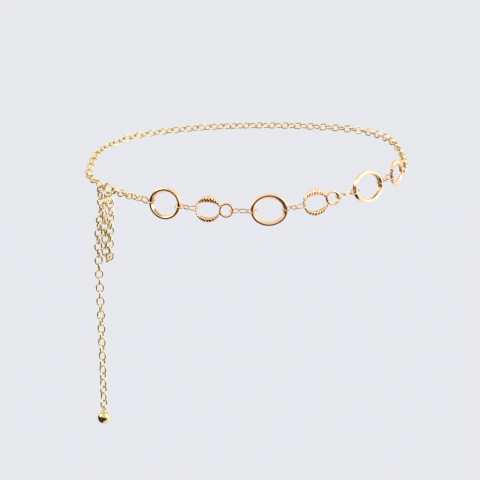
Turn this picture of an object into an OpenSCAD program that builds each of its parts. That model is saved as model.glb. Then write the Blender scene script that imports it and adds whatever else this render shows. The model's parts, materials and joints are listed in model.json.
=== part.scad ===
// Waist chain of polished and textured rings, closed by a hook on a long fine chain.
// The fine chain goes round the back, hangs in one loop at the hook and ends in a ball drop.
// Up is +Z and the wearer's front faces -Y. The origin is the middle of the loop round the waist.

/* [Waist] */
// Width of the loop round the waist, between the middles of its sides
waist_w = 277; // [255:1:310]
// Depth of the loop round the waist, from front to back
waist_d = 190; // [175:1:215]
// How much higher the loop lies at the back than at the front
waist_rise = 70; // [50:1:90]

/* [Smooth rings] */
// Length of a smooth ring along the belt
ring_l = 31.5; // [28:0.5:34]
// Height of a smooth ring
ring_h = 27.2; // [25:0.2:30]
// Width of the ring's band, seen from the front
band_w = 4; // [3.6:0.1:4.1]
// Thickness of the ring's band, from front to back
band_t = 4; // [3.8:0.1:4.1]

/* [Twin rings] */
// Length of a textured ring along the belt
tex_l = 23; // [21.6:0.2:24.4]
// Height of a textured ring
tex_h = 23; // [21.6:0.2:24.4]
// Length of the opening in a textured ring
tex_open_l = 19.6; // [18.2:0.2:20]
// Height of the opening in a textured ring
tex_open_h = 13.6; // [12:0.2:15]
// Thickness of a textured ring, from front to back
tex_t = 3.6; // [3:0.1:4]
// Number of raised knobs round a textured ring
knobs = 26; // [20:1:30]
// Height of the raised knobs
knob_h = 0.55; // [0.3:0.05:0.7]
// Outer diameter of the small plain ring beside each textured ring
small_d = 12.6; // [11.6:0.2:13.4]
// Width of the small ring's band, seen from the front
small_w = 2.3; // [2:0.1:2.6]
// Thickness of the small ring's band, from front to back
small_t = 2.6; // [2.4:0.1:2.7]
// Depth to which the small ring is soldered into the textured ring
solder = 1.7; // [1.4:0.1:1.8]

/* [Connecting links] */
// Wire of the links between the rings
joiner_wire = 1; // [0.9:0.05:1.1]
// Inside length of a link that goes round a ring's band
hold_in_l = 7.9; // [7.6:0.1:8.6]
// Inside width of a link that goes round a ring's band
hold_in_w = 5.8; // [5.7:0.1:6]
// Inside length of the middle link before a textured ring
twin_mid_in_l = 4.8; // [4.5:0.1:6]
// Inside length of the middle link before a smooth ring
ring_mid_in_l = 6.7; // [5.8:0.1:7.4]
// Inside width of the middle links
mid_in_w = 2.3; // [2:0.1:3]

/* [Fine chain] */
// Outer length of a chain link
link_l = 9; // [8.6:0.1:9.6]
// Outer width of a chain link
link_w = 7.4; // [7.2:0.1:7.8]
// Wire of the chain links
link_wire = 1.4; // [1.2:0.05:1.5]
// Number of chain links between the hook and the first ring
side_links = 7; // [6:1:9]
// How far the folded loop of chain hangs below the hook
loop_drop = 63; // [50:1:80]
// How far the loose end hangs below the hook, down to the ball's eye
tail_drop = 190; // [140:1:220]

/* [Hook and ball] */
// Wire of the hook
hook_wire = 1.6; // [1.4:0.1:1.8]
// Radius of the hook's bend, to the middle of its wire
hook_r = 4.2; // [4:0.1:4.6]
// Length of the hook's straight shank
shank_l = 7; // [5:0.5:8]
// Radius of the hook's eye, to the middle of its wire
hook_eye_r = 2.3; // [2.1:0.1:2.6]
// Diameter of the ball at the loose end
ball_d = 11.4; // [9:0.2:13]
// Wire of the ball's eye
ball_wire = 1.1; // [1:0.1:1.3]
// Inside diameter of the ball's eye
ball_eye_d = 2.6; // [2.2:0.1:3]

/* [Fit] */
// Play between two links that hold each other
play = 0.2; // [0.15:0.05:0.3]
// Play between a link and the smooth ring that it holds
ring_play = 1.3; // [1.1:0.05:1.4]
// Play between a link and the textured ring that it holds
tex_play = 0.9; // [0.7:0.1:1]
// Play between a link and the small ring that it holds
small_play = 0.85; // [0.7:0.05:0.95]

/* [Hidden] */
$fn = 32;
RINGS = ["left", "middle", "right"];

ROSE = "#d9a066";
GOLD = "#d8b765";

// The belt's path, starting at the hook and going past the front to the right:
// share of half the width, share of half the depth, share of the rise
BELT_POINTS = [
    [-0.884, -0.200, -0.261], [-0.700, -0.495, -0.357], [-0.491, -0.716, -0.431],
    [-0.231, -0.884, -0.487], [0.133, -0.953, -0.494], [0.412, -0.895, -0.404],
    [0.738, -0.674, -0.229], [0.931, -0.392, -0.069], [0.984, -0.211, 0.003],
    [0.985, 0.053, 0.131], [0.960, 0.232, 0.250], [0.881, 0.505, 0.371],
    [0.708, 0.779, 0.450], [0.390, 0.958, 0.493], [0.000, 1.000, 0.500],
    [-0.397, 0.958, 0.457], [-0.751, 0.800, 0.357], [-0.939, 0.568, 0.207],
    [-0.989, 0.379, 0.083], [-1.008, 0.158, -0.057], [-1.009, 0.042, -0.123],
    [-0.953, -0.089, -0.186]
];

// The hanging strands' paths in the hook's frame: mm along the belt, mm outward, share of the drop
LOOP_POINTS = [
    [-7.4, 2.8, -0.15], [-5.4, 1, -0.36], [-4.2, -0.2, -0.66], [-4.4, -0.6, -0.917], [-1.1, -0.1, -0.975],
    [0.5, 0.5, -1],
    [3, 1.1, -0.975], [4.6, 1.6, -0.917], [4.4, 1.4, -0.66], [4.2, 0.4, -0.4], [3, -1, -0.2]
];
TAIL_POINTS = [
    [0.8, 5.4, -0.07], [-0.6, 8, -0.13], [-2.4, 8.6, -0.2], [-2.6, 8.4, -0.32],
    [-1.4, 7.6, -0.5], [0.2, 7, -0.75], [1.6, 6.5, -1]
];

link_in_l = link_l - 2 * link_wire;
link_pitch = link_in_l - play;
small_in_r = small_d / 2 - small_w;
small_at = tex_l / 2 + small_d / 2 - solder;
tex_joint = tex_open_l / 2 - tex_play / 2;
small_joint = small_at + small_in_r - small_play / 2;
ring_pitch = ring_l - 2 * band_w - ring_play;
twin_pitch = tex_joint + small_joint;

function unit(v) = v / norm(v);
function last(v) = v[len(v) - 1];

// Smooth curve through the points, sampled finely enough for links
STEPS = 16;
function knot(p, i, closed) = closed ? p[(i + len(p)) % len(p)] : p[max(0, min(len(p) - 1, i))];
function bent(a, b, c, d, f) =
    (2 * b + (c - a) * f + (2 * a - 5 * b + 4 * c - d) * f * f + (3 * b - a - 3 * c + d) * f * f * f) / 2;
function curve(p, closed) = [
    for (i = [0 : len(p) - (closed ? 1 : 2)], j = [0 : STEPS - 1])
        bent(knot(p, i - 1, closed), knot(p, i, closed), knot(p, i + 1, closed),
            knot(p, i + 2, closed), j / STEPS),
    closed ? p[0] : last(p)
];

// A track gives the place on a curve from the distance along it
function distances(q) = [
    for (i = 0, s = 0; i < len(q); s = s + norm(q[min(i + 1, len(q) - 1)] - q[i]), i = i + 1) s
];
function track(q) = let (s = distances(q)) [
    for (axis = [0:2]) [for (i = [0 : len(q) - 1]) [s[i], q[i][axis]]]
];
function track_end(t) = last(t[0])[0];
function place(t, s) = [for (axis = [0:2]) lookup(s, t[axis])];

// Distances along a track at which pieces of the given pitches meet
function reach(t, from, pitch, guess, tries) = tries == 0 ? guess
    : reach(t, from, pitch, guess + pitch - norm(place(t, guess) - place(t, from)), tries - 1);
function stops(t, pitches) = [
    for (i = 0, s = 0; i <= len(pitches);
        s = reach(t, s, pitches[min(i, len(pitches) - 1)], s + pitches[min(i, len(pitches) - 1)], 5),
        i = i + 1) s
];

// Turn of each link about the strand, in even steps of about a quarter turn from first to final
function quarter(turn) = turn - 180 * round(turn / 180);
function rolls(n, first, final) = [
    for (i = [0 : n - 1]) first + i * (90 + quarter(final - first - 90 * (n - 1)) / max(1, n - 1))
];

// Outward from the belt, square to its run
function outward(run) = unit(cross(run, [0, 0, 1]));
function turned(run, ref, roll) =
    let (flat = unit(ref - (ref * run) * run)) flat * cos(roll) + cross(run, flat) * sin(roll);

// Turn of the links that go round the bands, from edge on
hold_turn = 24;

// The hook as drawn: its bend about the origin, its shank along the top, its eye below the shank's end
eye_wire = 1.2 * hook_wire;
hook_eye_at = [shank_l + hook_eye_r * cos(45), hook_r - hook_eye_r * sin(45)];
hook_lean = atan2(hook_eye_at[1], hook_eye_at[0]);
hook_pull = hook_r - hook_wire / 2 - play / 2;
hook_pitch = hook_pull + norm(hook_eye_at) + hook_eye_r - eye_wire / 2 - play / 2;

// Where the belt's pieces meet, from the hook's bend to the far end of the last small ring
function hold_pitch(band_play) = hold_in_l - band_play / 2 - play / 2;
TO_TWIN = [hold_pitch(ring_play), twin_mid_in_l - play, hold_pitch(tex_play), twin_pitch];
TO_RING = [hold_pitch(small_play), ring_mid_in_l - play, hold_pitch(ring_play), ring_pitch];
PITCHES = concat(
    [hook_pitch],
    [for (i = [1:side_links]) link_pitch],
    [hold_pitch(ring_play), ring_pitch],
    TO_TWIN, TO_RING, TO_TWIN, TO_RING, TO_TWIN
);
first_ring = side_links + 2;
BELT = track(curve([for (p = BELT_POINTS) [p[0] * waist_w / 2, p[1] * waist_d / 2, p[2] * waist_rise]], true));
STOPS = stops(BELT, PITCHES);
BACK_FROM = last(STOPS);
BACK_TO = track_end(BELT);
back_links = ceil((BACK_TO - BACK_FROM) / link_pitch);

function joint(i) = place(BELT, STOPS[i]);
function back_joint(i) = place(BELT, BACK_FROM + (BACK_TO - BACK_FROM) * i / back_links);

// The hook's frame for what hangs from it: level along the belt, outward and straight up
hook_run = unit(joint(1) - joint(0));
hook_out = outward(hook_run);
hook_up = cross(hook_out, hook_run);
hook_level = cross([0, 0, 1], hook_out);
hook_mid = joint(0) + hook_pull * hook_run;
function at_hook(p) = hook_mid + p[0] * hook_level + p[1] * hook_out + [0, 0, p[2]];

// The chain's link that the hook catches carries the loop on its outer side
side_mid = (link_w - link_wire) / 2;
caught_run = unit(joint(0) - back_joint(back_links - 1));
loop_start = (joint(0) + back_joint(back_links - 1)) / 2
    + side_mid * outward(caught_run) + [0, 0, (link_wire + play) / 2];

// Another link lies across the hook's bend and carries the loop's end and the loose end
across_turn = 286;
across_at = hook_mid + hook_r * (cos(across_turn) * hook_run + sin(across_turn) * hook_up)
    + [0, 0, (hook_wire + link_wire) / 2 + 1.2 * play - side_mid];
hang_r = side_mid - link_wire - play;
hang_out = (link_l - link_wire) / 2 - side_mid + hang_r * cos(45);
hang_down = hang_r * sin(45) + (link_wire + play) / 2;
tail_start = across_at + hang_out * hook_out - [0, 0, hang_down];
loop_end = across_at - hang_out * hook_out - [0, 0, hang_down];

function strand(points, drop) = [for (p = points) at_hook([p[0], p[1], p[2] * drop])];
LOOP = track(curve(concat([loop_start], strand(LOOP_POINTS, loop_drop), [loop_end]), false));
TAIL = track(curve(concat([tail_start], strand(TAIL_POINTS, tail_drop)), false));
loop_links = ceil(track_end(LOOP) / (link_pitch - 1.5 * play));
tail_links = ceil(track_end(TAIL) / link_pitch);
function loop_joint(i) = place(LOOP, track_end(LOOP) * i / loop_links);
function tail_joint(i) = place(TAIL, track_end(TAIL) * i / tail_links);

// Sets a piece drawn along X, facing Z, at a place with its run and its facing
module facing(at, run, face) {
    side = cross(face, run);
    multmatrix([
        [run[0], side[0], face[0], at[0]],
        [run[1], side[1], face[1], at[1]],
        [run[2], side[2], face[2], at[2]],
        [0, 0, 0, 1]
    ])
    children();
}

// Sweeps a section round an oval: two half turns joined by straight sides, to the section's middle
module oval(half_l, half_h) {
    straight = 2 * (half_l - half_h);
    for (side = [0, 180]) rotate(side) {
        translate([straight / 2, 0, 0]) rotate(-90)
        rotate_extrude(angle = 180) translate([half_h, 0]) children();
        translate([-straight / 2, half_h, 0]) rotate([90, 0, 90]) linear_extrude(straight) children();
    }
}

// A wire link between two joints, its inside ends just past them
module wire_link(from, to, face, in_l, in_w, wire) {
    facing((from + to) / 2, unit(to - from), face)
    oval((in_l + wire) / 2, (in_w + wire) / 2) circle(d = wire);
}

module chain_link(from, to, ref, roll) {
    wire_link(from, to, turned(unit(to - from), ref, roll), link_in_l, link_w - 2 * link_wire, link_wire);
}

// Outline of a band that rises to a narrow rounded crest at the front
function arc(c, r, from, to, n) = [
    for (i = [0:n]) let (a = from + (to - from) * i / n) c + r * [cos(a), sin(a)]
];
function tangent(c1, r1, c2, r2) =
    let (d = c2 - c1) (atan2(d[1], d[0]) - acos((r1 - r2) / norm(d)) + 360) % 360;
function band_outline(w, t, lean, crest_r, back_r) =
    let (
        out = [w / 2 - back_r, back_r - t / 2],
        crest = [lean, t / 2 - crest_r],
        in = [back_r - w / 2, back_r - t / 2],
        rise = tangent(out, back_r, crest, crest_r),
        fall = tangent(crest, crest_r, in, back_r)
    )
    concat(arc(out, back_r, -90, rise, 4), arc(crest, crest_r, rise, fall, 6), arc(in, back_r, fall, 270, 4));

module smooth_ring(i) {
    from = joint(i);
    to = joint(i + 1);
    run = unit(to - from);
    color(ROSE) facing((from + to) / 2, run, outward(run))
    oval((ring_l - band_w) / 2, (ring_h - band_w) / 2)
    polygon(band_outline(band_w, band_t, 0.1 * band_w, 0.25 * band_w, 0.3 * band_w));
}

// Section of the textured ring: share of its width, share of its thickness, share of the knobs
TEX_SECTION = [
    [0.00, -0.30, 0.0], [0.03, 0.05, 0.1], [0.22, 0.38, 0.3], [0.48, 0.50, 0.6], [0.74, 0.38, 1.0],
    [0.96, 0.05, 1.0], [1.00, -0.28, 0.8], [0.82, -0.50, 0.0], [0.18, -0.50, 0.0]
];
KNOB = [1, 0.1, -0.6];
function knob(i) = knob_h * KNOB[i % 3] * (0.72 + 0.28 * sin(137.5 * floor(i / 3)));
function tex_point(i, row) =
    let (
        a = 360 * i / (3 * knobs),
        inner = [tex_open_l / 2 * cos(a), tex_open_h / 2 * sin(a)],
        outer = [(tex_l / 2 - knob_h) * cos(a), (tex_h / 2 - knob_h) * sin(a)],
        away = unit(outer - inner),
        flat = inner + (outer - inner) * row[0],
        lift = unit([row[0] - 0.35, row[1] + 0.4])
    )
    [
        flat[0] + away[0] * lift[0] * knob(i) * row[2],
        flat[1] + away[1] * lift[0] * knob(i) * row[2],
        row[1] * (tex_t - knob_h) + lift[1] * knob(i) * row[2]
    ];

module textured_ring() {
    rows = len(TEX_SECTION);
    count = 3 * knobs;
    polyhedron(
        points = [for (i = [0 : count - 1], row = TEX_SECTION) tex_point(i, row)],
        faces = [
            for (i = [0 : count - 1], j = [0 : rows - 1], half = [0, 1])
                let (
                    a = i * rows + j,
                    b = i * rows + (j + 1) % rows,
                    c = ((i + 1) % count) * rows + (j + 1) % rows,
                    d = ((i + 1) % count) * rows + j
                )
                half == 0 ? [a, c, b] : [a, d, c]
        ]
    );
}

// A textured ring with a small plain ring soldered to its side
module twin_ring(i) {
    from = joint(i);
    to = joint(i + 1);
    run = unit(to - from);
    color(ROSE) facing(from + tex_joint * run, run, outward(run)) {
        textured_ring();
        translate([small_at, 0, 0]) rotate_extrude()
        translate([small_in_r + small_w / 2, 0])
        polygon(band_outline(small_w, small_t, 0.1 * small_w, 0.27 * small_w, 0.25 * small_w));
    }
}

// Link k of the three between two rings: the outer two go round the bands, the middle one lies flat
module connector_link(i, k) {
    at = first_ring + 4 * (i - 1) + k;
    run = unit(joint(at + 1) - joint(at));
    holds = k != 2;
    roll = holds ? 90 + hold_turn : hold_turn;
    in_l = holds ? hold_in_l : i % 2 == 1 ? twin_mid_in_l : ring_mid_in_l;
    color(ROSE) wire_link(joint(at), joint(at + 1), turned(run, outward(run), roll),
        in_l, holds ? hold_in_w : mid_in_w, joiner_wire);
}

// Chain between the hook's eye and the first ring, with its larger last link round the ring's band
module side_chain() {
    turns = rolls(side_links, 70, hold_turn);
    last_run = unit(joint(side_links + 2) - joint(side_links + 1));
    color(GOLD) {
        for (i = [1:side_links]) {
            run = unit(joint(i + 1) - joint(i));
            chain_link(joint(i), joint(i + 1), outward(run), turns[i - 1]);
        }
        wire_link(joint(side_links + 1), joint(side_links + 2), turned(last_run, outward(last_run), 90 + hold_turn),
            hold_in_l, hold_in_w, joiner_wire);
    }
}

// Chain from the last small ring round the back to the link that the hook catches
module back_chain() {
    turns = rolls(back_links, 90, 90);
    color(GOLD) for (i = [0 : back_links - 1]) {
        run = unit(back_joint(i + 1) - back_joint(i));
        chain_link(back_joint(i), back_joint(i + 1), outward(run), turns[i]);
    }
}

// Chain that hangs from the caught link in a loop and comes back up to the link across the hook
module loop_chain() {
    turns = rolls(loop_links, 90, 0);
    color(GOLD) for (i = [0 : loop_links - 1])
        chain_link(loop_joint(i), loop_joint(i + 1), hook_out, turns[i]);
}

// Link across the hook and the loose end that hangs from it
module tail_chain() {
    turns = rolls(tail_links, 0, 90);
    color(GOLD) {
        facing(across_at, hook_out, hook_level)
        oval((link_l - link_wire) / 2, side_mid) circle(d = link_wire);
        for (i = [0 : tail_links - 1])
            chain_link(tail_joint(i), tail_joint(i + 1), hook_out, turns[i]);
    }
}

// Plain hook: an eye for the side chain, a straight shank and an open bend with a ball tip
module hook_clasp() {
    tip_turn = 330;
    color(GOLD) facing(hook_mid, hook_run, hook_out) rotate(-hook_lean) {
        rotate(90) rotate_extrude(angle = tip_turn - 90) translate([hook_r, 0]) circle(d = hook_wire);
        translate([0, hook_r, 0]) rotate([0, 90, 0]) cylinder(h = shank_l, d = hook_wire);
        translate([hook_eye_at[0], hook_eye_at[1], 0])
        rotate_extrude() translate([hook_eye_r, 0]) circle(d = eye_wire);
        translate(hook_r * [cos(tip_turn), sin(tip_turn), 0]) sphere(d = 1.3 * hook_wire);
    }
}

// Ball with a collar and an eye that holds the last link of the loose end
module ball_drop() {
    eye_r = (ball_eye_d + ball_wire) / 2;
    collar_h = 0.12 * ball_d;
    eye_up = (ball_d + collar_h) / 2 + eye_r;
    top = tail_joint(tail_links) + [0, 0, play / 2];
    color(GOLD) translate(top - [0, 0, ball_eye_d / 2 + eye_up]) {
        sphere(d = ball_d);
        translate([0, 0, (ball_d - collar_h) / 2]) cylinder(h = collar_h, d = 0.4 * ball_d);
        translate([0, 0, eye_up]) rotate([90, 0, atan2(hook_level[1], hook_level[0])])
        rotate_extrude() translate([eye_r, 0]) circle(d = ball_wire);
    }
}

for (i = [0:2]) {
    smooth_ring(first_ring + 8 * i);
    twin_ring(first_ring + 4 + 8 * i);
}
for (i = [1:5], k = [1:3])
    connector_link(i, k);
side_chain();
back_chain();
loop_chain();
tail_chain();
hook_clasp();
ball_drop();
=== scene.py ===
"""Dressed scene of a waist chain of smooth and textured rings with a hook, a folded loop and a ball drop.

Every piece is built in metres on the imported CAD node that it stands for, in the same frame. Up is +Z,
and the camera looks along +Y at the front of the belt.
"""

import json
import logging
import math
from collections.abc import Iterable, Sequence
from dataclasses import dataclass, field
from enum import Enum

import bmesh
import bpy
import numpy as np
from mathutils import Matrix, Vector

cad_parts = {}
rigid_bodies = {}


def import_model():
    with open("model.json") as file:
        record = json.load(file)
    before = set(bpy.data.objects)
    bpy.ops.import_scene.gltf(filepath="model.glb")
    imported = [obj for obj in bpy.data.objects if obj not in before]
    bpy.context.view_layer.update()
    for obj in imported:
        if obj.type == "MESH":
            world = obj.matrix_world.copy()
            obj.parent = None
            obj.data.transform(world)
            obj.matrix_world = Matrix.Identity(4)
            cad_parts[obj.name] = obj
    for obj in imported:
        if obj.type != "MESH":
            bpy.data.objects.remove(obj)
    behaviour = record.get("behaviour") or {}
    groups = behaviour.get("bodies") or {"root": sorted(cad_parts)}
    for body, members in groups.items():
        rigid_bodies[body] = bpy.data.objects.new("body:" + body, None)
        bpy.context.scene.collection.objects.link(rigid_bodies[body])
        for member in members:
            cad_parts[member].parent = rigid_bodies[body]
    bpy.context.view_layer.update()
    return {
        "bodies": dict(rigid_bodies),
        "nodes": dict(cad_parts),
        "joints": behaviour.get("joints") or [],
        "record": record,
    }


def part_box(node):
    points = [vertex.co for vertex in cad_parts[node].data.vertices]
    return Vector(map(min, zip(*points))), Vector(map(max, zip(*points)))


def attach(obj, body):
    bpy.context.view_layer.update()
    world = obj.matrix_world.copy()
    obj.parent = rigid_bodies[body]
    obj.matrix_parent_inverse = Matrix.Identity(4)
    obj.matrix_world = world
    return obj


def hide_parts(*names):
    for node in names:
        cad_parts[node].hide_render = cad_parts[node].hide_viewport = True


LOG = logging.getLogger("waist_chain")
MM = 0.001
ROOT = "root"
LINK_TONE = "link_tone"
# Turn from one knob to the next that spreads their heights evenly
GOLDEN_DEGREES = 137.5
# Decimals of a metre to which points count as one
SAME_PLACE_DIGITS = 7
# Half of a straight side, below which an oval is round
SHORTEST_SIDE = 1e-6

COLOUR, NUMBER = "NodeSocketColor", "NodeSocketFloat"
# Places of a colour mix's sockets
MIX_MASK, MIX_A, MIX_B, MIX_RESULT = 0, 6, 7, 2

Colour = tuple[float, float, float]
Point = tuple[float, float]
Outline = list[Point]


# Shader wiring and effects


class Wiring:
    """Adds nodes to a shader tree and wires them up step by step."""

    def __init__(self, tree: bpy.types.NodeTree) -> None:
        """Takes the tree that the nodes go in."""
        self.tree = tree

    def node(
        self, kind: str, inputs: dict[str | int, object] | None = None, **settings: object
    ) -> bpy.types.Node:
        """Adds a node.

        Args:
            kind: Type of the node.
            inputs: What feeds its inputs, by name or number.
            **settings: Properties of the node, by name.

        Returns:
            The new node.
        """
        made = self.tree.nodes.new(kind)
        for key, value in settings.items():
            setattr(made, key, value)
        for key, value in (inputs or {}).items():
            self.feed(value, made.inputs[key])
        return made

    def feed(self, value: object, target: bpy.types.NodeSocket) -> None:
        """Links a socket to an input, or sets the input to a number, colour or vector.

        Args:
            value: The socket, or the number, colour or vector.
            target: The input.
        """
        if isinstance(value, bpy.types.NodeSocket):
            self.tree.links.new(value, target)
        else:
            target.default_value = value

    def place(self, effect: str, **values: object) -> bpy.types.Node:
        """Places an effect by its name and feeds its inputs."""
        return self.node("ShaderNodeGroup", values, node_tree=bpy.data.node_groups[effect])

    def math(self, operation: str, *values: object) -> bpy.types.NodeSocket:
        """Adds a math node on sockets or numbers and gives its result."""
        inputs = dict(enumerate(values))
        return self.node("ShaderNodeMath", inputs, operation=operation).outputs["Value"]

    def blend(self, mask: bpy.types.NodeSocket, a: object, b: object) -> bpy.types.NodeSocket:
        """Blends two colours by a mask, where 0 gives the first one."""
        inputs = {MIX_MASK: mask, MIX_A: a, MIX_B: b}
        return self.node("ShaderNodeMix", inputs, data_type="RGBA").outputs[MIX_RESULT]

    def noise(
        self, where: bpy.types.NodeSocket, scale: object, detail: float, rough: float = 0.55
    ) -> bpy.types.NodeSocket:
        """Adds noise from 0 to 1, with its scale in waves a metre and its levels of detail."""
        inputs = {"Vector": where, "Scale": scale, "Detail": detail, "Roughness": rough}
        return self.node("ShaderNodeTexNoise", inputs).outputs["Fac"]

    def ramp(self, value: bpy.types.NodeSocket, low: float, high: float) -> bpy.types.NodeSocket:
        """Stretches a value smoothly, so that one limit gives 0 and the other gives 1."""
        inputs = {"Value": value, "From Min": low, "From Max": high}
        return self.node("ShaderNodeMapRange", inputs, interpolation_type="SMOOTHSTEP").outputs[0]


class Effect(Wiring):
    """A shader node group with named inputs and outputs, laid out on Object coordinates."""

    def __init__(self, name: str, inputs: dict[str, object], outputs: dict[str, str]) -> None:
        """Starts the group.

        Args:
            name: Name of the group.
            inputs: Start value of each input; a tuple of four is a colour and a float a number.
            outputs: Socket type of each output.
        """
        super().__init__(bpy.data.node_groups.new(name, "ShaderNodeTree"))
        for label, value in inputs.items():
            kind = COLOUR if isinstance(value, tuple) else NUMBER
            socket = self.tree.interface.new_socket(label, in_out="INPUT", socket_type=kind)
            socket.default_value = value
        for label, kind in outputs.items():
            self.tree.interface.new_socket(label, in_out="OUTPUT", socket_type=kind)
        self.source = self.node("NodeGroupInput").outputs
        self.result = self.node("NodeGroupOutput").inputs
        self.where = self.node("ShaderNodeTexCoord").outputs["Object"]

    def finish(self, **results: bpy.types.NodeSocket) -> bpy.types.NodeTree:
        """Feeds the group's outputs.

        Args:
            **results: Socket for each output, by name.

        Returns:
            The finished group.
        """
        for label, socket in results.items():
            self.feed(socket, self.result[label])
        return self.tree


def plating_tone_effect() -> bpy.types.NodeTree:
    """Cloudy change of tone over plated metal.

    Returns:
        A group that gives the metal's colour.
    """
    made = Effect(
        "plating_tone",
        {"Tone": (0.8, 0.6, 0.4, 1.0), "Deep": (0.6, 0.4, 0.2, 1.0), "Scale": 95.0, "Amount": 0.5},
        {"Color": COLOUR},
    )
    finer, fine_share = 7.0, 0.3
    fine_scale = made.math("MULTIPLY", made.source["Scale"], finer)
    broad = made.noise(made.where, made.source["Scale"], detail=3.0)
    fine = made.noise(made.where, fine_scale, detail=2.0)
    broad = made.math("MULTIPLY", broad, 1.0 - fine_share)
    fine = made.math("MULTIPLY", fine, fine_share)
    cloudy = made.ramp(made.math("ADD", broad, fine), low=0.36, high=0.66)
    mask = made.math("MULTIPLY", cloudy, made.source["Amount"])
    return made.finish(Color=made.blend(mask, made.source["Tone"], made.source["Deep"]))


def handling_marks_effect() -> bpy.types.NodeTree:
    """Hairline scratches and faint smudges of handled metal.

    Returns:
        A group that gives the roughness and the height of the marks.
    """
    made = Effect(
        "handling_marks",
        {"Roughness": 0.2, "Smudge": 0.06, "Scratch": 0.5, "Scale": 500.0},
        {"Roughness": NUMBER, "Height": NUMBER},
    )
    drawn_along_z, drawn_along_x = (1.0, 1.0, 0.05), (0.06, 1.0, 1.0)
    tilt, scratch_roughness = 0.4, 0.12
    cuts = []
    for turn, drawn in ((0.5, drawn_along_z), (1.9, drawn_along_x)):
        layout = {"Vector": made.where, "Rotation": (turn, tilt * turn, turn), "Scale": drawn}
        where = made.node("ShaderNodeMapping", layout).outputs["Vector"]
        streak = made.noise(where, made.source["Scale"], detail=4.0, rough=0.7)
        cuts.append(made.ramp(streak, low=0.62, high=0.74))
    lines = made.math("MULTIPLY", made.math("MAXIMUM", *cuts), made.source["Scratch"])
    smudge = made.ramp(made.noise(made.where, scale=140.0, detail=3.0), low=0.42, high=0.68)
    smudge = made.math("MULTIPLY", smudge, made.source["Smudge"])
    rough = made.math("ADD", made.source["Roughness"], smudge)
    rough = made.math("ADD", rough, made.math("MULTIPLY", lines, scratch_roughness))
    return made.finish(Roughness=rough, Height=made.math("MULTIPLY", lines, -1.0))


def groove_shade_and_tarnish_effect() -> bpy.types.NodeTree:
    """Painted shade in grooves and inner corners, broken up by patchy tarnish.

    Returns:
        A group that gives the metal's colour with the painted groove shade and tarnish over it.
    """
    made = Effect(
        "groove_shade_and_tarnish",
        {"Metal": (0.8, 0.6, 0.4, 1.0), "Tarnish": (0.2, 0.1, 0.05, 1.0), "Amount": 0.5},
        {"Color": COLOUR},
    )
    # Painted shade: where the surface is hollow (low pointiness) the colour turns dark, in patches like
    # tarnish.
    sharp = made.node("ShaderNodeNewGeometry").outputs["Pointiness"]
    crease = made.math("SUBTRACT", 1.0, made.ramp(sharp, low=0.43, high=0.51))
    patchy = made.ramp(made.noise(made.where, scale=260.0, detail=3.0), low=0.30, high=0.62)
    mask = made.math("MULTIPLY", made.math("MULTIPLY", crease, patchy), made.source["Amount"])
    return made.finish(Color=made.blend(mask, made.source["Metal"], made.source["Tarnish"]))


def hammered_effect() -> bpy.types.NodeTree:
    """Small hammer dents between the knobs of a textured ring.

    Returns:
        A group that gives the height of the dents.
    """
    made = Effect("hammer_dents", {"Scale": 700.0, "Depth": 1.0}, {"Height": NUMBER})
    layout = {"Vector": made.where, "Scale": made.source["Scale"], "Smoothness": 0.6}
    cells = made.node("ShaderNodeTexVoronoi", layout, feature="SMOOTH_F1")
    dents = made.math("MULTIPLY", cells.outputs["Distance"], made.source["Depth"])
    return made.finish(Height=dents)


class Shade(Enum):
    """Plating tones seen on the belt: colour, deeper tone and the dark of the painted groove shade and
    tarnish, in linear light.
    """

    ROSE = ((0.88, 0.635, 0.44), (0.78, 0.49, 0.30), (0.17, 0.075, 0.03))
    HONEY = ((0.86, 0.665, 0.44), (0.70, 0.49, 0.27), (0.16, 0.08, 0.03))
    # A lighter, creamier copy of ROSE: painted light for the right smooth ring, which stands in the
    # window light.
    WINDOW_LIT_CREAM = ((0.85, 0.685, 0.49), (0.74, 0.56, 0.37), (0.16, 0.10, 0.05))
    PALE = ((0.86, 0.725, 0.46), (0.74, 0.58, 0.30), (0.16, 0.11, 0.03))
    BRASS = ((0.74, 0.65, 0.38), (0.62, 0.52, 0.27), (0.14, 0.10, 0.03))


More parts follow.
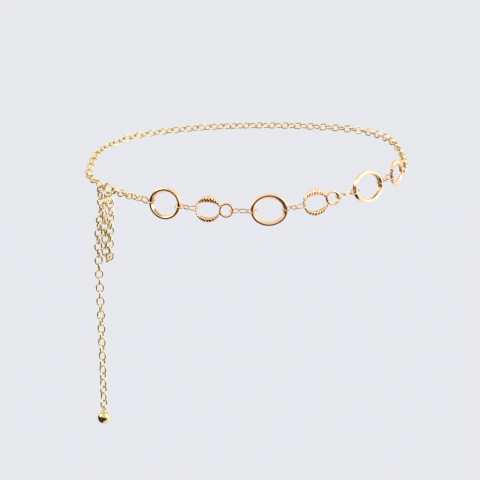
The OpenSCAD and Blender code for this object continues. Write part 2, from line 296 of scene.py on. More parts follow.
@dataclass(frozen=True)
class Plating:
    """Polished gold plating.

    Attributes:
        name: Name of the material.
        shade: Tones of the plating.
        roughness: Roughness of clean metal.
        clouds: Share of the deeper tone in its clouds.
        shade_and_tarnish: Strength of the painted shade and tarnish in grooves and inner corners.
        scratch: Strength of the hairline scratches.
        bump: Depth of the scratches and dents, in metres.
        dents: Depth of the hammer dents, as a share of the bump.
        by_link: Whether each link has its own tone, from the piece's own attribute.
    """

    name: str
    shade: Shade
    roughness: float
    clouds: float = 0.5
    shade_and_tarnish: float = 0.5
    scratch: float = 0.5
    bump: float = 0.02 * MM
    dents: float = 0.0
    by_link: bool = False

    def material(self) -> bpy.types.Material:
        """Builds the material.

        Returns:
            A metal with cloudy tone, painted groove shade with tarnish, smudges and fine marks.
        """
        made = bpy.data.materials.new(self.name)
        made.use_nodes = True
        wires = Wiring(made.node_tree)
        shader = made.node_tree.nodes["Principled BSDF"].inputs
        shader["Metallic"].default_value = 1.0
        shader["IOR"].default_value = 1.6
        wires.feed(self._colour(wires), shader["Base Color"])
        marks = wires.place("handling_marks", Roughness=self.roughness, Scratch=self.scratch)
        wires.feed(marks.outputs["Roughness"], shader["Roughness"])
        height = marks.outputs["Height"]
        if self.dents:
            dents = wires.place("hammer_dents", Depth=self.dents)
            height = wires.math("ADD", height, dents.outputs["Height"])
        relief = {"Strength": 1.0, "Distance": self.bump, "Height": height}
        bump = wires.node("ShaderNodeBump", relief)
        wires.feed(bump.outputs["Normal"], shader["Normal"])
        return made

    def _colour(self, wires: Wiring) -> bpy.types.NodeSocket:
        """Wires up the metal's colour.

        Args:
            wires: The material's wiring.

        Returns:
            The socket of the cloudy tone with the painted groove shade and tarnish over it.
        """
        tone, deep, dark = ((*colour, 1.0) for colour in self.shade.value)
        clouds = wires.place("plating_tone", Tone=tone, Deep=deep, Amount=self.clouds)
        colour = clouds.outputs["Color"]
        if self.by_link:
            mark = wires.node("ShaderNodeAttribute", attribute_name=LINK_TONE)
            colour = wires.blend(mark.outputs["Fac"], colour, deep)
        # Painted shade and tarnish darken the grooves and inner corners.
        shade_and_tarnish = wires.place("groove_shade_and_tarnish", Metal=colour, Tarnish=dark, Amount=self.shade_and_tarnish)
        return shade_and_tarnish.outputs["Color"]


# Places read from the frame


@dataclass(frozen=True)
class Seat:
    """Where one solid sits: its middle, its three axes and its full size along them.

    Attributes:
        centre: Middle of the solid's box along its own axes.
        run: Direction along the belt or strand, the longest size.
        side: Direction across it.
        face: Direction that the opening faces, the shortest size.
        size: Full sizes along run, side and face.
    """

    centre: Vector
    run: Vector
    side: Vector
    face: Vector
    size: tuple[float, float, float]

    def matrix(self, at: Vector | None = None) -> Matrix:
        """Matrix that sets a mesh drawn along X, facing Z, on this seat.

        Args:
            at: Place of the mesh's origin, in place of the seat's middle.

        Returns:
            The 4 by 4 matrix.
        """
        turn = Matrix((self.run, self.side, self.face)).transposed().to_4x4()
        return Matrix.Translation(self.centre if at is None else at) @ turn


def loose_solids(node: bpy.types.Object) -> list[np.ndarray]:
    """Splits a CAD node into its loose solids.

    Args:
        node: The CAD node.

    Returns:
        The triangles of each solid, as arrays of n by 3 by 3.
    """
    mesh = node.data
    points = np.empty(len(mesh.vertices) * 3, np.float64)
    mesh.vertices.foreach_get("co", points)
    points = points.reshape(-1, 3)
    mesh.calc_loop_triangles()
    corners = np.empty(len(mesh.loop_triangles) * 3, np.int64)
    mesh.loop_triangles.foreach_get("vertices", corners)
    merged, place = np.unique(np.round(points, SAME_PLACE_DIGITS), axis=0, return_inverse=True)
    faces = place.reshape(-1)[corners].reshape(-1, 3)
    label = np.arange(len(merged))
    while True:
        lowest = label[faces].min(axis=1)
        found = label.copy()
        for column in range(3):
            np.minimum.at(found, faces[:, column], lowest)
        found = found[found]
        if np.array_equal(found, label):
            break
        label = found
    owner = label[faces[:, 0]]
    return [merged[faces[owner == key]] for key in np.unique(owner)]


def seat_of(triangles: np.ndarray) -> Seat:
    """Finds a solid's axes from how its surface is spread.

    Args:
        triangles: The solid's triangles.

    Returns:
        Its seat.
    """
    a, b, c = triangles[:, 0], triangles[:, 1], triangles[:, 2]
    area = np.linalg.norm(np.cross(b - a, c - a), axis=1)
    middle = triangles.mean(axis=1)
    mean = (middle * area[:, None]).sum(0) / area.sum()
    off = middle - mean
    _, axes = np.linalg.eigh((off * area[:, None]).T @ off)
    run, side = axes[:, 2], axes[:, 1]
    return _seat(triangles, run, side, np.cross(run, side))


def _seat(triangles: np.ndarray, run: np.ndarray, side: np.ndarray, face: np.ndarray) -> Seat:
    """Measures a solid along given axes.

    Args:
        triangles: The solid's triangles.
        run: Direction along the belt or strand.
        side: Direction across it.
        face: Direction that its opening faces.

    Returns:
        Its seat.
    """
    frame = np.stack([run, side, face])
    spread = triangles.reshape(-1, 3) @ frame.T
    low, high = spread.min(0), spread.max(0)
    centre = ((low + high) / 2) @ frame
    return Seat(Vector(centre), Vector(run), Vector(side), Vector(face), tuple(high - low))


def belt_seat_of(triangles: np.ndarray) -> Seat:
    """Seat of a ring of the belt, whose face looks level and outward and whose run goes to the right.

    Args:
        triangles: The ring's triangles.

    Returns:
        Its seat, with side pointing up.
    """
    found = seat_of(triangles)
    run = np.array(found.run)
    if np.dot(run, np.cross((0.0, 0.0, 1.0), triangles.reshape(-1, 3).mean(0))) < 0:
        run = -run
    face = np.cross(run, (0.0, 0.0, 1.0))
    face /= np.linalg.norm(face)
    return _seat(triangles, run, np.cross(face, run), face)


# Shapes


def arc(centre: Point, radius: float, start: float, end: float, steps: int) -> Outline:
    """Points along an arc from one turn to another, in degrees, its ends among them."""
    turns = [math.radians(start + (end - start) * i / steps) for i in range(steps + 1)]
    return [(centre[0] + radius * math.cos(t), centre[1] + radius * math.sin(t)) for t in turns]


def tangent_turn(a: Point, a_radius: float, b: Point, b_radius: float) -> float:
    """Finds where a straight line touches two circles that both lie on its left.

    Args:
        a: Centre of the circle where the line starts.
        a_radius: Its radius.
        b: Centre of the circle where the line ends.
        b_radius: Its radius.

    Returns:
        The turn of the touching points about their centres, in degrees.
    """
    dx, dy = b[0] - a[0], b[1] - a[1]
    lean = math.acos((a_radius - b_radius) / math.hypot(dx, dy))
    return math.degrees(math.atan2(dy, dx) - lean) % 360.0


@dataclass(frozen=True)
class BandSection:
    """Section of a band: a flat back with round corners and two slopes up to a softly domed crest.

    Attributes:
        width: Width of the band, seen from the front.
        thickness: From front to back.
        lean: How far the crest lies outside the band's middle.
        crest_r: Radius of the crest.
        shoulder_r: Radius of the edges of the crest.
        back_r: Radius of the back's corners.
        half_turn: Half of the crest's arc, in degrees.
        steps: Steps in the arcs of a back's corner, of a shoulder and of the crest.
    """

    width: float
    thickness: float
    lean: float
    crest_r: float
    shoulder_r: float
    back_r: float
    half_turn: float = 26.0
    steps: tuple[int, int, int] = (5, 3, 8)

    def outline(self) -> Outline:
        """Works the section out.

        Returns:
            Points of outward offset and height, anticlockwise from the back's outer corner.
        """
        low = self.back_r - self.thickness / 2
        outer = (self.width / 2 - self.back_r, low)
        inner = (self.back_r - self.width / 2, low)
        crest = (self.lean, self.thickness / 2 - self.crest_r)
        start, end = 90.0 - self.half_turn, 90.0 + self.half_turn
        near, far = arc(crest, self.crest_r - self.shoulder_r, start, end, 1)
        rise = tangent_turn(outer, self.back_r, near, self.shoulder_r)
        fall = tangent_turn(far, self.shoulder_r, inner, self.back_r)
        corner, shoulder, dome = self.steps
        return (
            arc(outer, self.back_r, -90.0, rise, corner)
            + arc(near, self.shoulder_r, rise, start, shoulder)
            + arc(crest, self.crest_r, start, end, dome)[1:-1]
            + arc(far, self.shoulder_r, end, fall, shoulder)
            + arc(inner, self.back_r, fall, 270.0, corner)
        )


def wire_section(radius: float, sides: int) -> Outline:
    """Round wire's section."""
    turns = [2 * math.pi * i / sides for i in range(sides)]
    return [(radius * math.cos(t), radius * math.sin(t)) for t in turns]


def closed_row(
    made: bmesh.types.BMesh, points: Iterable[tuple[float, float, float]]
) -> tuple[list[bmesh.types.BMVert], list[bmesh.types.BMEdge]]:
    """Adds a closed row of points to a mesh and gives its points and edges."""
    row = [made.verts.new(point) for point in points]
    return row, [made.edges.new((row[i - 1], row[i])) for i in range(len(row))]


def spin_part(
    made: bmesh.types.BMesh,
    edges: list[bmesh.types.BMEdge],
    centre: tuple[float, float, float],
    angle: float,
    steps: int,
) -> list[bmesh.types.BMEdge]:
    """Sweeps a section part of a turn about an upright axis and gives its edges at the end."""
    spun = bmesh.ops.spin(made, geom=edges, cent=centre, axis=(0, 0, 1), angle=angle, steps=steps)
    return [e for e in spun["geom_last"] if isinstance(e, bmesh.types.BMEdge)]


def spin_round(made: bmesh.types.BMesh, steps: int, merge: float) -> None:
    """Sweeps all that a mesh holds once round the upright axis and closes it."""
    bmesh.ops.spin(
        made,
        geom=[*made.verts, *made.edges],
        cent=(0, 0, 0),
        axis=(0, 0, 1),
        angle=2 * math.pi,
        steps=steps,
        use_merge=True,
    )
    close_up(made, merge)


def close_up(made: bmesh.types.BMesh, merge: float) -> None:
    """Merges points that lie within a distance and turns the faces outwards."""
    bmesh.ops.remove_doubles(made, verts=made.verts, dist=merge)
    bmesh.ops.recalc_face_normals(made, faces=made.faces)


def swept_ring(
    section: Outline, half_l: float, half_w: float, steps: int, end_share: float = 0.9
) -> bmesh.types.BMesh:
    """Sweeps a section round a ring of two end arcs and two flatter long arcs.

    Args:
        section: Points of outward offset and height.
        half_l: Half the length, to the section's middle.
        half_w: Half the width, to the section's middle.
        steps: Steps in each arc.
        end_share: Radius of the end arcs, as a share of half the width.

    Returns:
        A closed mesh drawn along X, facing Z.
    """
    end_r = end_share * half_w
    end_at = half_l - end_r
    long_r = (half_w**2 + end_at**2 - end_r**2) / (2 * (half_w - end_r))
    meet = math.atan2(long_r - half_w, end_at)
    made = bmesh.new()
    row, edges = closed_row(made, [(end_at + end_r + u, 0, v) for u, v in section])
    first = Matrix.Rotation(-meet, 3, "Z")
    bmesh.ops.rotate(made, cent=(end_at, 0, 0), matrix=first, verts=row)
    arcs = (
        ((end_at, 0, 0), 2 * meet),
        ((0, half_w - long_r, 0), math.pi - 2 * meet),
        ((-end_at, 0, 0), 2 * meet),
        ((0, long_r - half_w, 0), math.pi - 2 * meet),
    )
    for centre, angle in arcs:
        edges = spin_part(made, edges, centre, angle, steps)
    close_up(made, merge=1e-6)
    return made


def straight_side(
    made: bmesh.types.BMesh, edges: list[bmesh.types.BMEdge], length: float, seam: float
) -> list[bmesh.types.BMEdge]:
    """Sweeps a section along X, with a soldered seam in the middle of its way.

    Args:
        made: Mesh that it joins.
        edges: Edges of the section.
        length: Length of the side, below 0 to go back along X.
        seam: Swell of the seam, as a share of the section, or 0 for none.

    Returns:
        Edges of the section at the end of the side.
    """
    seam_share = 0.12
    plain_share = (1.0 - seam_share) / 2
    for share, swell in (
        (plain_share, 1.0 + seam),
        (seam_share, 1.0),
        (plain_share, 1.0 / (1.0 + seam)),
    ):
        pushed = bmesh.ops.extrude_edge_only(made, edges=edges)["geom"]
        verts = [v for v in pushed if isinstance(v, bmesh.types.BMVert)]
        edges = [e for e in pushed if isinstance(e, bmesh.types.BMEdge)]
        edges = [e for e in edges if all(v in verts for v in e.verts)]
        bmesh.ops.translate(made, vec=(length * share, 0, 0), verts=verts)
        if seam:
            space = Matrix.Translation(-Vector(np.mean([v.co for v in verts], axis=0)))
            bmesh.ops.scale(made, vec=(1, swell, swell), space=space, verts=verts)
    return edges


def swept_oval(
    section: Outline, half_l: float, half_w: float, steps: int, seam: float = 0.0
) -> bmesh.types.BMesh:
    """Sweeps a section round an oval of two half turns and two straight sides.

    Args:
        section: Points of outward offset and height.
        half_l: Half the length, to the section's middle.
        half_w: Half the width, to the section's middle.
        steps: Steps in each half turn.
        seam: Swell of a soldered seam on one side, as a share of the section.

    Returns:
        A closed mesh drawn along X, facing Z.
    """
    made = bmesh.new()
    straight = half_l - half_w
    _, edges = closed_row(made, [(straight, -half_w - u, v) for u, v in section])
    if straight < SHORTEST_SIDE:
        spin_round(made, 2 * steps, merge=1e-7)
        return made
    for way, swell in ((1.0, seam), (-1.0, 0.0)):
        edges = spin_part(made, edges, (way * straight, 0, 0), math.pi, steps)
        edges = straight_side(made, edges, -2 * way * straight, swell)
    close_up(made, merge=1e-7)
    return made


def as_mesh(made: bmesh.types.BMesh, name: str) -> bpy.types.Mesh:
    """Turns a bmesh into a smooth mesh and frees it."""
    mesh = bpy.data.meshes.new(name)
    made.to_mesh(mesh)
    made.free()
    mesh.polygons.foreach_set("use_smooth", [True] * len(mesh.polygons))
    return mesh


def add_part(made: bmesh.types.BMesh, part: bmesh.types.BMesh, place: Matrix) -> None:
    """Moves a part to its place, adds it to a mesh and frees it.

    Args:
        made: Mesh that it joins.
        part: The part.
        place: Matrix of its place.
    """
    bmesh.ops.transform(part, matrix=place, verts=part.verts)
    mesh = as_mesh(part, "part")
    made.from_mesh(mesh)
    bpy.data.meshes.remove(mesh)


# The belt's pieces


@dataclass
class Piece:
    """A piece of the belt that stands for one CAD node.

    Attributes:
        node: The CAD node.
        name: Name of the piece.
        slot: The record's material slot; not used.
    """

    node: str
    name: str
    slot: str

    def build(self, nodes: dict[str, bpy.types.Object], finish: bpy.types.Material) -> None:
        """Builds the piece on its node.

        Args:
            nodes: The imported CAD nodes.
            finish: Its plating.
        """
        mesh = self.mesh(loose_solids(nodes[self.node]))
        piece = bpy.data.objects.new(self.name, mesh)
        bpy.context.scene.collection.objects.link(piece)
        mesh.materials.append(finish)
        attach(piece, ROOT)
        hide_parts(self.node)
        LOG.info("%s: %d faces", self.name, len(mesh.polygons))

    def mesh(self, solids: list[np.ndarray]) -> bpy.types.Mesh:
        """Makes the mesh in its place, from the triangles of the node's solids."""
        raise NotImplementedError


@dataclass
class SmoothRing(Piece):
    """A polished oval ring with a rounded crest.

    Attributes:
        band_w: Width of its band.
        band_t: Thickness of its band.
        steps: Steps in each of its arcs.
    """

    band_w: float = 4.0 * MM
    band_t: float = 3.9 * MM
    steps: int = 36

    def mesh(self, solids: list[np.ndarray]) -> bpy.types.Mesh:
        """Makes the ring on its seat.

        Args:
            solids: Triangles of the node's solids.

        Returns:
            The mesh.
        """
        seat = belt_seat_of(solids[0])
        w = self.band_w
        section = BandSection(
            w, self.band_t, lean=0.1 * w, crest_r=0.5 * w, shoulder_r=0.12 * w, back_r=0.3 * w
        )
        half_l, half_w = (seat.size[0] - w) / 2, (seat.size[1] - w) / 2
        made = swept_ring(section.outline(), half_l, half_w, self.steps)
        bmesh.ops.transform(made, matrix=seat.matrix(), verts=made.verts)
        return as_mesh(made, self.node)


@dataclass
class TwinRing(Piece):
    """A knobbed oval ring with a small plain ring soldered to its side.

    Attributes:
        length: Length of the textured ring.
        height: Height of the textured ring.
        open_l: Length of its opening.
        open_h: Height of its opening.
        brow: How much further the upper band reaches into the opening.
        thickness: Thickness of the textured ring.
        side_ease: Share of it that the ring loses at its sides, where links go round.
        knobs: Number of its raised knobs.
        knob_h: Height of the knobs.
        knob_steps: Steps round the ring for each knob.
        knob_root: Where the knobs grow out from, as shares of the ring's width and thickness.
        slant: Knobs that a groove crosses on its way from the opening to the outer edge.
        uneven: How much the knobs differ in height, as a share of it.
        groove: Depth of the grooves between them, as a share of the knobs' height.
        blunt: Power that makes the knobs blunt, below 1.
        small_d: Outer diameter of the small ring.
        small_w: Width of the small ring's band.
        small_t: Thickness of the small ring's band.
        bead: Radius of a bead of solder, as a share of the small ring's band.
        bead_form: How much the bead is stretched along each axis.
        bead_in: Height at which it sits, as a share of the height where the outlines meet.
        bead_back: How far behind the middle it sits, as a share of the small ring's thickness.
        section: Section of the textured ring: share of its width, of its thickness and of the knobs.
        section_steps: Steps between two rows of the section.
    """

    length: float = 23.0 * MM
    height: float = 23.0 * MM
    open_l: float = 19.6 * MM
    open_h: float = 13.6 * MM
    brow: float = 1.2 * MM
    thickness: float = 3.2 * MM
    side_ease: float = 0.2
    knobs: int = 26
    knob_h: float = 0.38 * MM
    knob_steps: int = 10
    knob_root: Point = (0.35, -0.4)
    slant: float = 0.8
    uneven: float = 0.25
    groove: float = 0.7
    blunt: float = 0.55
    small_d: float = 12.6 * MM
    small_w: float = 2.3 * MM
    small_t: float = 2.4 * MM
    bead: float = 0.38
    bead_form: tuple[float, float, float] = (1.0, 1.2, 0.85)
    bead_in: float = 0.93
    bead_back: float = 0.12
    section: Sequence[tuple[float, float, float]] = (
        (0.00, -0.30, 0.0),
        (0.03, 0.00, 0.2),
        (0.33, 0.46, 0.7),
        (0.54, 0.50, 1.0),
        (0.80, 0.38, 1.0),
        (0.97, 0.05, 0.7),
        (1.00, -0.28, 0.4),
        (0.82, -0.50, 0.0),
        (0.18, -0.50, 0.0),
    )
    section_steps: int = 4

    def mesh(self, solids: list[np.ndarray]) -> bpy.types.Mesh:
        """Makes both rings on their seat.

        Args:
            solids: Triangles of the node's solids.

        Returns:
            The mesh.
        """
        seat = belt_seat_of(solids[0])
        start = seat.centre - seat.run * seat.size[0] / 2
        along = seat.size[0] - (self.length + self.small_d) / 2
        place = seat.matrix(start + seat.run * self.length / 2)
        made = bmesh.new()
        add_part(made, self._textured(), place)
        add_part(made, self._small(), place @ Matrix.Translation((along, 0, 0)))
        for way in (1.0, -1.0):
            add_part(made, self._solder(), place @ self._meeting(along, way))
        return as_mesh(made, self.node)

    def _small(self) -> bmesh.types.BMesh:
        """Sweeps the small ring.

        Returns:
            The ring, about its own middle and facing Z.
        """
        w = self.small_w
        section = BandSection(
            w, self.small_t, lean=0.1 * w, crest_r=0.5 * w, shoulder_r=0.14 * w, back_r=0.25 * w
        )
        half = (self.small_d - w) / 2
        return swept_oval(section.outline(), half, half, steps=36)

    def _meeting(self, along: float, way: float) -> Matrix:
        """Place of a bead of solder, where the outlines of the rings meet.

        Args:
            along: From the middle of the textured ring to the middle of the small one.
            way: 1 for the upper meeting point and -1 for the lower one.

        Returns:
            The matrix of the place.
        """
        big, small = self.length / 2, self.small_d / 2
        across = (along**2 + big**2 - small**2) / (2 * along)
        up = self.bead_in * math.sqrt(big**2 - across**2)
        return Matrix.Translation((across, way * up, -self.bead_back * self.small_t))

    def _solder(self) -> bmesh.types.BMesh:
        """Makes a bead of solder, a flattened ball.

        Returns:
            The bead, about its own middle.
        """
        made = bmesh.new()
        bmesh.ops.create_icosphere(
            made,
            subdivisions=3,
            radius=self.bead * self.small_w,
            matrix=Matrix.Diagonal((*self.bead_form, 1.0)),
        )
        return made

    def _textured(self) -> bmesh.types.BMesh:
        """Spins a round section and moves its points to the knobbed oval.

        Returns:
            The textured ring, drawn along X and facing Z.
        """
        made = bmesh.new()
        middle = 3
        around = wire_section(1.0, self.section_steps * len(self.section))
        closed_row(made, [(middle + u, 0, v) for u, v in around])
        spin_round(made, self.knob_steps * self.knobs, merge=1e-5)
        for vert in made.verts:
            turn = math.atan2(vert.co.y, vert.co.x) % (2 * math.pi)
            out = math.hypot(vert.co.x, vert.co.y) - middle
            roll = math.atan2(vert.co.z, out) % (2 * math.pi)
            vert.co = self._point(turn, roll / (2 * math.pi))
        bmesh.ops.recalc_face_normals(made, faces=made.faces)
        return made

    def _row(self, share: float) -> tuple[float, float, float]:
        """Works out the section between its rows, on a smooth curve through them.

        Args:
            share: Share of the way round the section.

        Returns:
            Share of the ring's width, of its thickness and of the knobs.
        """
        count = len(self.section)
        place = (0.5 - share) % 1.0 * count
        i, f = int(place), place % 1.0
        a, b, c, d = (np.array(self.section[(i + k) % count]) for k in (-1, 0, 1, 2))
        slope, bend, twist = c - a, 2 * a - 5 * b + 4 * c - d, 3 * b - a - 3 * c + d
        return tuple((2 * b + slope * f + bend * f**2 + twist * f**3) / 2)

    def _knob(self, turn: float, width: float) -> float:
        """Works out how high the knobs stand.

        Args:
            turn: Turn round the ring, in radians.
            width: Share of the ring's width, from the opening outwards.

        Returns:
            The height, which is below 0 in the grooves.
        """
        place = turn / (2 * math.pi) * self.knobs + self.slant * (width - 0.5)
        change = math.sin(math.radians(GOLDEN_DEGREES * (round(place) % self.knobs)))
        size = 1.0 - self.uneven + self.uneven * change
        hill = 0.5 + 0.5 * math.cos(2 * math.pi * place)
        return self.knob_h * ((1.0 + self.groove) * size * hill**self.blunt - self.groove)

    def _point(self, turn: float, share: float) -> Vector:
        """Works out a point of the knobbed oval.

        Args:
            turn: Turn round the ring, in radians.
            share: Share of the way round its section.

        Returns:
            The point.
        """
        width, height, knob_share = self._row(share)
        along, rise = math.cos(turn), math.sin(turn)
        brow = self.brow * max(rise, 0.0) ** 3
        outer_l, outer_h = self.length / 2 - self.knob_h, self.height / 2 - self.knob_h
        inner = Vector((self.open_l / 2 * along, self.open_h / 2 * rise - brow, 0))
        outer = Vector((outer_l * along, outer_h * rise, 0))
        root_width, root_height = self.knob_root
        lift = Vector((width - root_width, height - root_height)).normalized()
        knob = self._knob(turn, width) * knob_share
        at = inner.lerp(outer, width) + (outer - inner).normalized() * lift.x * knob
        ease = 1.0 - self.side_ease * along**2
        at.z = height * (self.thickness - self.knob_h) * ease + lift.y * knob
        return at


@dataclass
class WireLinks(Piece):
    """All wire links of one CAD node, each on its own solid.

    Attributes:
        steps: Steps in each half turn of a link.
        sides: Sides of the wire.
        seam: Swell of the soldered seam, as a share of the wire.
        trim: Share of the solid's size that a link has, so that it stays inside it.
        deepest: Most of the deeper tone that a link has.
    """

    steps: int = 10
    sides: int = 10
    seam: float = 0.05
    trim: float = 0.99
    deepest: float = 0.6

    def mesh(self, solids: list[np.ndarray]) -> bpy.types.Mesh:
        """Makes all links, each on its own seat.

        Args:
            solids: Triangles of the node's solids.

        Returns:
            The mesh.
        """
        chance = np.random.default_rng(len(self.node))
        forms: dict[tuple[float, ...], bpy.types.Mesh] = {}
        made = bmesh.new()
        tones: list[float] = []
        for solid in solids:
            seat = seat_of(solid)
            key = tuple(round(size / MM, 1) for size in seat.size)
            if key not in forms:
                forms[key] = self._form(seat)
            first = len(made.verts)
            made.from_mesh(forms[key])
            made.verts.ensure_lookup_table()
            turned = Matrix.Rotation(math.pi * chance.integers(2), 4, "Z")
            new = made.verts[first:]
            bmesh.ops.transform(made, matrix=seat.matrix() @ turned, verts=new)
            tones += [float(chance.uniform(0.0, self.deepest))] * len(new)
        for form in forms.values():
            bpy.data.meshes.remove(form)
        mesh = as_mesh(made, self.node)
        mesh.attributes.new(LINK_TONE, "FLOAT", "POINT").data.foreach_set("value", tones)
        return mesh

    def _form(self, seat: Seat) -> bpy.types.Mesh:
        """Makes one link of a seat's size.

        Args:
            seat: The seat.

        Returns:
            The link's mesh, drawn along X and facing Z.
        """
        length, width, wire = (self.trim * size for size in seat.size)
        half_l, half_w = (length - wire) / 2, (width - wire) / 2
        section = wire_section(wire / 2, self.sides)
        return as_mesh(swept_oval(section, half_l, half_w, self.steps, self.seam), "wire_link")


@dataclass
class BallDrop(Piece):
    """The ball with its collar and eye, drawn in mm about the ball's middle.

    Attributes:
        diameter: Diameter of the ball, in mm.
        collar: Radius of the collar, as a share of the ball's diameter.
        top: Height of the collar's top above the ball's middle, as a share of the diameter.
        rim: Radius of the collar's rounded rim, in mm.
        wire: Wire of its eye, in mm.
        eye_d: Inside diameter of the eye, in mm.
    """

    diameter: float = 11.4
    collar: float = 0.2
    top: float = 0.56
    rim: float = 0.2
    wire: float = 1.1
    eye_d: float = 2.6

    def mesh(self, solids: list[np.ndarray]) -> bpy.types.Mesh:
        """Makes the ball and its eye on their node.

        Args:
            solids: Triangles of the node's solids.

        Returns:
            The mesh.
        """
        low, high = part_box(self.node)
        radius = self.diameter / 2 * MM
        centre = Vector(((low.x + high.x) / 2, (low.y + high.y) / 2, low.z + radius))
        made = self._turned()
        points = solids[0].reshape(-1, 3)
        self._eye(made, points[points[:, 2] > high.z - self.eye_d * MM])
        place = Matrix.Translation(centre) @ Matrix.Scale(MM, 4)
        bmesh.ops.transform(made, matrix=place, verts=made.verts)
        return as_mesh(made, self.node)

    def _turned(self) -> bmesh.types.BMesh:
        """Spins the outline of the ball and its collar, whose rim is rounded.

        Returns:
            The closed ball.
        """
        radius, collar_r, top = (share * self.diameter for share in (0.5, self.collar, self.top))
        foot = math.degrees(math.acos(collar_r / radius))
        outline = arc((0, 0), radius, -90.0, foot, steps=28)
        outline += arc((collar_r - self.rim, top - self.rim), self.rim, 0.0, 90.0, steps=4)
        made = bmesh.new()
        row = [made.verts.new((u, 0, v)) for u, v in [*outline, (0.0, top)]]
        for pair in zip(row, row[1:]):
            made.edges.new(pair)
        spin_round(made, steps=48, merge=1e-4)
        return made

    def _eye(self, made: bmesh.types.BMesh, cad_eye: np.ndarray) -> None:
        """Adds the wire eye, turned as the CAD's eye is.

        Args:
            made: Mesh that it joins.
            cad_eye: Points of the CAD's eye.
        """
        flat = cad_eye[:, :2] - cad_eye[:, :2].mean(0)
        _, axes = np.linalg.eigh(flat.T @ flat)
        turn = math.atan2(axes[1, 1], axes[0, 1])
        eye_r = (self.eye_d + self.wire) / 2
        eye = swept_oval(wire_section(self.wire / 2, sides=16), eye_r, eye_r, steps=20)
        upright = Matrix.Rotation(turn, 4, "Z") @ Matrix.Rotation(math.pi / 2, 4, "X")
        above = Matrix.Translation((0, 0, self.top * self.diameter + eye_r))
        add_part(made, eye, above @ upright)


@dataclass
class WaistChain:
    """The whole belt, put together from its pieces.

    Attributes:
        sides: Names of the three places along the front.
        strands: CAD node and piece name of each run of fine chain.
    """

    sides: Sequence[str] = ("left", "middle", "right")
    strands: Sequence[tuple[str, str]] = (
        ("side_chain", "chain_at_side"),
        ("back_chain", "chain_round_back"),
        ("loop_chain", "chain_folded_loop"),
        ("tail_chain", "chain_loose_end"),
    )

    def build(self, nodes: dict[str, bpy.types.Object]) -> None:
        """Builds and dresses every piece.

        Args:
            nodes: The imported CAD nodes.
        """
        # The tarnish amounts set the painted shade and tarnish in grooves and inner corners.
        smooth = Plating("rose_polished", Shade.ROSE, 0.13, clouds=0.4, shade_and_tarnish=0.3).material()
        # Painted light: a lighter copy of the rose plating for the right smooth ring in the window light.
        window_lit_cream = Plating("window_lit_cream_polished", Shade.WINDOW_LIT_CREAM, 0.20, clouds=0.3, shade_and_tarnish=0.1).material()
        textured = Plating(
            "rose_hammered", Shade.ROSE, 0.17, clouds=0.9, shade_and_tarnish=1.0, bump=0.06 * MM, dents=0.8
        ).material()
        joiner = Plating("honey_wire", Shade.HONEY, 0.12, shade_and_tarnish=0.8, by_link=True).material()
        fine = Plating("pale_wire", Shade.PALE, 0.12, shade_and_tarnish=0.7, by_link=True).material()
        brass = Plating("brass_polished", Shade.BRASS, 0.14, clouds=0.45, shade_and_tarnish=0.6).material()
        for side in self.sides:
            ring = SmoothRing(f"ring_{side}", f"smooth_ring_{side}", "smooth_ring")
            # The right smooth ring gets the painted lit copy of the rose plating.
            ring.build(nodes, window_lit_cream if side == "right" else smooth)
            twin = TwinRing(f"twin_ring_{side}", f"twin_ring_{side}_pair", "textured_ring")
            twin.build(nodes, textured)
        for node in sorted(n for n in nodes if n.startswith("connector_")):
            link = WireLinks(node, f"wire_{node}", "connector", steps=16, sides=14, seam=0.04)
            link.build(nodes, joiner)
        for node, name in self.strands:
            WireLinks(node, name, "chain").build(nodes, fine)
        BallDrop("ball_drop", "ball_with_eye", "ball").build(nodes, brass)
        hook = nodes["hook_clasp"].data.materials
        hook.clear()
        hook.append(brass)
        LOG.info("hook_clasp: kept from the frame, newly plated")


# The studio


@dataclass(frozen=True)
class Softlight:
    """A broad distant light.

    Attributes:
        name: Name of the light.
        across: Turn to the camera's right, in degrees.
        height: Height above the horizon, in degrees.
        spread: Width of the light as the belt sees it, in degrees.
        strength: Light that it gives, in watts a square metre.
        colour: Its colour.
    """

    name: str
    across: float
    height: float
    spread: float
    strength: float
    colour: Colour = (1.0, 0.98, 0.95)


def direction(across: float, height: float) -> Vector:
    """Direction from the belt, by a turn to the camera's right and a height, in degrees."""
    turn, rise = math.radians(across), math.radians(height)
    return Vector((math.sin(turn) * math.cos(rise), -math.cos(turn) * math.cos(rise), math.sin(rise)))


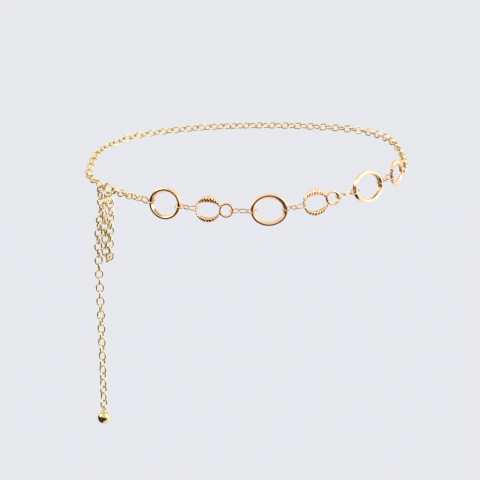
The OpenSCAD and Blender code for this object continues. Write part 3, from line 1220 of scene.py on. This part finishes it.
@dataclass
class Studio:
    """Camera, soft lights, pale floor and surroundings.

    Attributes:
        target: Point that the camera looks at.
        distance: From the camera to the target.
        elevation: Height of the camera above the horizon, in degrees.
        lens: Focal length in mm.
        sensor: Width of the camera's sensor in mm.
        clip: Nearest and furthest distance that the camera sees.
        floor_z: Height of the floor.
        floor_front: Front edge of the floor.
        floor_size: Size of the floor.
        backdrop: Colour that the camera sees behind the belt.
        floor_colour: Colour of the floor.
        even_light: Light that rough surfaces get from all around.
        bright_room: Light of the bright room, as the metal shows it.
        window: Light of the room's right side.
        dim_room: Light of the dim band.
        dim_across: Middle of the dim band, as a turn to the camera's right in degrees.
        dim_sides: Cosines off that middle between which the band begins.
        dim_foot: Heights, as sines, between which the band begins.
        dim_top: Heights, as sines, between which the band ends.
        dim_taper: How much its foot and its top climb from the middle to the right.
        lights: The soft lights.
    """

    target: Vector = field(default_factory=lambda: Vector((-6.0, 0.0, -65.3)) * MM)
    distance: float = 1.5
    elevation: float = 4.0
    lens: float = 127.8
    sensor: float = 36.0
    clip: tuple[float, float] = (0.05, 50.0)
    floor_z: float = -0.95
    floor_front: float = -0.5
    floor_size: float = 18.0
    backdrop: Colour = (0.80, 0.81, 0.85)
    floor_colour: Colour = (0.80, 0.8125, 0.858)
    even_light: Colour = (0.764, 0.764, 0.766)
    bright_room: Colour = (1.06, 1.00, 0.92)
    window: Colour = (1.38, 1.38, 1.36)
    dim_room: Colour = (0.06, 0.035, 0.02)
    dim_across: float = -45.0
    dim_sides: tuple[float, float] = (-0.35, 0.10)
    dim_foot: tuple[float, float] = (-0.96, -0.80)
    dim_top: tuple[float, float] = (0.28, 0.0)
    dim_taper: tuple[float, float] = (0.34, -0.10)
    lights: Sequence[Softlight] = (
        Softlight("window_right", across=60.0, height=30.0, spread=44.0, strength=0.9),
        Softlight("lamp_left", across=-78.0, height=30.0, spread=30.0, strength=0.6),
    )

    def build(self) -> None:
        """Sets up the whole studio."""
        self._camera()
        self._surroundings()
        self._floor()
        for light in self.lights:
            self._softlight(light)

    def _camera(self) -> None:
        """Places the camera at its viewing angle."""
        data = bpy.data.cameras.new("camera")
        data.lens, data.sensor_width = self.lens, self.sensor
        data.clip_start, data.clip_end = self.clip
        camera = bpy.data.objects.new("camera", data)
        back = direction(0.0, self.elevation)
        self._set_up(camera, self.target + back * self.distance, back)
        bpy.context.scene.camera = camera

    def _softlight(self, light: Softlight) -> None:
        """Adds a soft light that shines on the belt.

        Args:
            light: Its place and strength.
        """
        data = bpy.data.lights.new(light.name, "SUN")
        data.angle, data.energy = math.radians(light.spread), light.strength
        data.color = light.colour
        lamp = bpy.data.objects.new(light.name, data)
        toward = direction(light.across, light.height)
        self._set_up(lamp, toward, toward)

    @staticmethod
    def _set_up(thing: bpy.types.Object, at: Vector, back: Vector) -> None:
        """Sets the camera or a lamp up.

        Args:
            thing: The camera or lamp.
            at: Its place.
            back: Direction that its back points in.
        """
        thing.location = at
        thing.rotation_mode = "QUATERNION"
        thing.rotation_quaternion = back.to_track_quat("Z", "Y")
        bpy.context.scene.collection.objects.link(thing)

    def _floor(self) -> None:
        """Lays the pale floor, which the metal doesn't show."""
        made = bmesh.new()
        bmesh.ops.create_grid(made, x_segments=2, y_segments=2, size=self.floor_size / 2)
        ahead = self.floor_front + self.floor_size / 2
        bmesh.ops.translate(made, vec=(0, ahead, self.floor_z), verts=made.verts)
        floor = bpy.data.objects.new("floor", as_mesh(made, "floor"))
        bpy.context.scene.collection.objects.link(floor)
        finish = bpy.data.materials.new("pale_floor")
        finish.use_nodes = True
        shader = finish.node_tree.nodes["Principled BSDF"].inputs
        shader["Base Color"].default_value = (*self.floor_colour, 1.0)
        shader["Roughness"].default_value = 0.9
        shader["Specular IOR Level"].default_value = 0.0
        floor.data.materials.append(finish)
        floor.visible_glossy = False

    def _surroundings(self) -> None:
        """Even light all around, with a room that only the metal shows and a plain backdrop."""
        world = bpy.data.worlds.new("studio")
        bpy.context.scene.world = world
        world.use_nodes = True
        world.node_tree.nodes.clear()
        wires = Wiring(world.node_tree)
        colours = (*self.even_light, 1.0), self._room(wires), (*self.backdrop, 1.0)
        seen, room, backdrop = (
            wires.node("ShaderNodeBackground", {"Color": colour}).outputs[0] for colour in colours
        )
        rays = wires.node("ShaderNodeLightPath").outputs
        for ray, shown in (("Is Glossy Ray", room), ("Is Camera Ray", backdrop)):
            inputs = {0: rays[ray], 1: seen, 2: shown}
            seen = wires.node("ShaderNodeMixShader", inputs).outputs[0]
        wires.node("ShaderNodeOutputWorld", {"Surface": seen})

    def _room(self, wires: Wiring) -> bpy.types.NodeSocket:
        """Wires up a bright room with a window and a dim band low in front of the belt.

        Args:
            wires: The world's wiring.

        Returns:
            The socket of its colour.
        """
        where = wires.node("ShaderNodeTexCoord").outputs["Generated"]
        parts = wires.node("ShaderNodeSeparateXYZ", {"Vector": where}).outputs
        right, up = parts["X"], parts["Z"]
        kind, middle = "ShaderNodeVectorMath", direction(self.dim_across, 0.0)
        level = wires.node(kind, {0: where, 1: (1, 1, 0)}, operation="MULTIPLY").outputs[0]
        level = wires.node(kind, {0: level}, operation="NORMALIZE").outputs[0]
        off = wires.node(kind, {0: level, 1: middle}, operation="DOT_PRODUCT").outputs["Value"]
        dim = wires.ramp(off, *self.dim_sides)
        for taper, limits in zip(self.dim_taper, (self.dim_foot, self.dim_top)):
            climb = wires.math("MULTIPLY_ADD", right, -taper, up)
            dim = wires.math("MULTIPLY", dim, wires.ramp(climb, *limits))
        bright = wires.blend(right, (*self.bright_room, 1.0), (*self.window, 1.0))
        return wires.blend(dim, bright, (*self.dim_room, 1.0))


def main() -> None:
    """Loads the frame, builds the belt and the studio."""
    logging.basicConfig(level=logging.INFO, format="%(name)s: %(message)s")
    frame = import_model()
    bpy.context.scene.view_settings.view_transform = "Standard"
    for effect in (plating_tone_effect, handling_marks_effect, groove_shade_and_tarnish_effect, hammered_effect):
        LOG.info("effect %s", effect().name)
    WaistChain().build(frame["nodes"])
    Studio().build()


if __name__ == "__main__":
    main()
